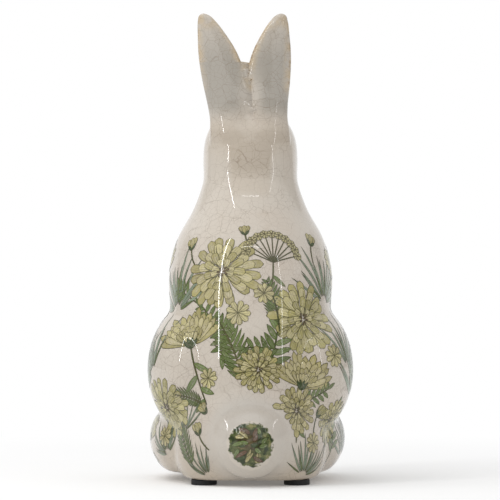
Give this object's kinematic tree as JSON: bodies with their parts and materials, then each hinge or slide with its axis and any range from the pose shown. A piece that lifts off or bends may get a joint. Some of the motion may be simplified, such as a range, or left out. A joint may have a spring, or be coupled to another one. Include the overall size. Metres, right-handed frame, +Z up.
{
  "type": "ceramic rabbit figurine",
  "caption": "Seated rabbit ornament in hollow glazed ceramic with upright ears, a round tail, rounded haunches and stick-on pads under its flat base.",
  "frame": {"origin": "middle of the bounding box, on the plane that the pads stand on", "axes": "+Z up, -Y the way the rabbit faces, +X towards the rabbit's own left"},
  "size_m": [0.096, 0.12, 0.22],
  "materials": {
    "glazed_body": "gloss",
    "glazed_ear": "gloss",
    "glazed_tail": "gloss",
    "pad": "matte"
  },
  "bodies": {
    "root": {"body_shell": "glazed_body", "ear_left": "glazed_ear", "ear_right": "glazed_ear", "tail": "glazed_tail", "foreleg_left": "glazed_body", "foreleg_right": "glazed_body", "hind_foot_left": "glazed_body", "hind_foot_right": "glazed_body", "pad_back_left": "pad", "pad_back_right": "pad", "pad_front_left": "pad", "pad_front_right": "pad"}
  },
  "joints": []
}
